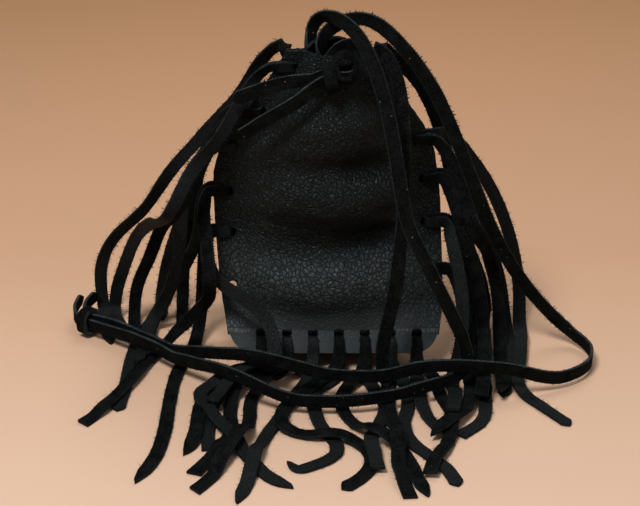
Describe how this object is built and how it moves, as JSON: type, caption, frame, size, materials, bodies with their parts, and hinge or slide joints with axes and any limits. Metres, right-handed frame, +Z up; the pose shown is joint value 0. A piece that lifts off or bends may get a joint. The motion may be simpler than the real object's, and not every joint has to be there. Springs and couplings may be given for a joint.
{
  "type": "medicine bag",
  "caption": "Small leather drawstring pouch laced along its sides and bottom with thongs whose long tails make a fringe, on a neck thong, slumped upright.",
  "frame": {"origin": "on the flat patch of the back panel that the bag rests on, about its middle", "axes": "+Z up towards the mouth, -Y out of the bag's front, +X to the right seen from the front"},
  "size_m": [0.1983, 0.1469, 0.1301],
  "materials": {
    "black_pebbled_leather": "pebbled grain, slightly shiny",
    "black_thong_leather": "suede on one side and smooth on the other",
    "black_neck_leather": "matt with lighter cut edges"
  },
  "bodies": {
    "root": {"bag_front_panel": "black_pebbled_leather", "bag_back_panel": "black_pebbled_leather", "fringe_thong_bottom_1": "black_thong_leather", "fringe_thong_bottom_2": "black_thong_leather", "fringe_thong_bottom_3": "black_thong_leather", "fringe_thong_bottom_4": "black_thong_leather", "fringe_thong_bottom_5": "black_thong_leather", "fringe_thong_bottom_6": "black_thong_leather", "fringe_thong_bottom_7": "black_thong_leather", "fringe_thong_left_1": "black_thong_leather", "fringe_thong_left_2": "black_thong_leather", "fringe_thong_left_3": "black_thong_leather", "fringe_thong_left_4": "black_thong_leather", "fringe_thong_left_5": "black_thong_leather", "fringe_thong_right_1": "black_thong_leather", "fringe_thong_right_2": "black_thong_leather", "fringe_thong_right_3": "black_thong_leather", "fringe_thong_right_4": "black_thong_leather", "fringe_thong_right_5": "black_thong_leather", "drawstring": "black_neck_leather", "neck_thong": "black_neck_leather", "neck_thong_knot": "black_neck_leather"}
  },
  "joints": []
}
